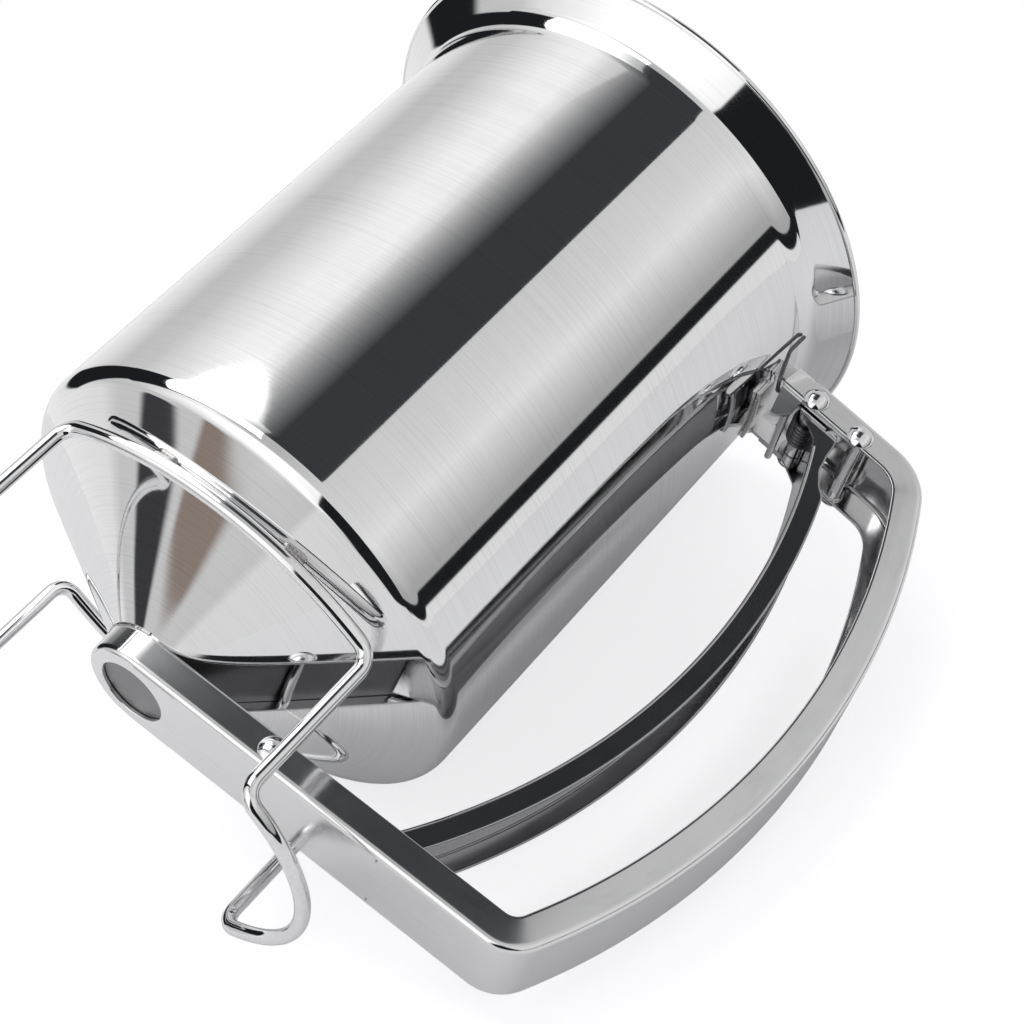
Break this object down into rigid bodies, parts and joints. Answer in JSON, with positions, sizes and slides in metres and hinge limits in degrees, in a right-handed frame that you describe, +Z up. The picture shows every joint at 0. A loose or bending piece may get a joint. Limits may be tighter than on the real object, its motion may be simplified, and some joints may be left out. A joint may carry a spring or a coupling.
{
  "type": "trigger dispensing pot",
  "caption": "Stainless pouring pot for melted wax or batter: flared hopper with a cone bottom, looped handle, sprung squeeze lever, sliding shutter and wire stand.",
  "frame": {"origin": "centre of the bounding box, on the plane the stand's feet rest on", "axes": "+Z up along the hopper's axis, +X from the hopper towards the handle's grip, +Y across the pot to the left of someone facing along +X; the outlet's axis is at x = -0.030"},
  "size_m": [0.218, 0.158, 0.2285],
  "materials": {
    "polished_steel": "mirror-polished stainless sheet, faint lengthwise and round-the-body polishing lines",
    "polished_sheet": "mirror-polished pressed stainless channel",
    "brushed_sheet": "plain mill-finish stainless sheet",
    "rivet_steel": "bright domed rivet steel",
    "spring_steel": "dark drawn spring wire",
    "stand_wire": "bright drawn stainless wire",
    "weld_metal": "ground weld metal, slightly heat-tinted"
  },
  "bodies": {
    "pot": {"hopper_shell": "polished_steel", "outlet_collar": "brushed_sheet", "outlet_welds": "weld_metal", "handle_channel": "polished_sheet", "upper_bracket": "brushed_sheet", "bracket_welds": "weld_metal", "pivot_rivet": "rivet_steel", "tie_rivet": "rivet_steel", "guide_rivet": "rivet_steel", "pivot_sleeve": "brushed_sheet", "torsion_spring": "spring_steel", "wire_stand": "stand_wire", "stand_welds": "weld_metal"},
    "trigger": {"trigger_lever": "polished_sheet", "link_pin": "rivet_steel"},
    "shutter": {"shutter_plate": "brushed_sheet"}
  },
  "joints": [
    {"name": "trigger_hinge", "type": "hinge", "parent": "pot", "child": "trigger", "pos_m": [0.051, 0, 0.2021], "axis": [0, -1, 0], "range_deg": [0, 7.3], "stiffness_Nm_per_rad": 0.6, "springref_deg": -45.84, "deforming": ["torsion_spring"]},
    {"name": "shutter_slide", "type": "slide", "parent": "pot", "child": "shutter", "axis": [1, 0, 0], "range_m": [0, 0.0224]}
  ],
  "couplings": [
    {"joint": "shutter_slide", "follows": "trigger_hinge", "m_per_rad": 0.17565}
  ]
}
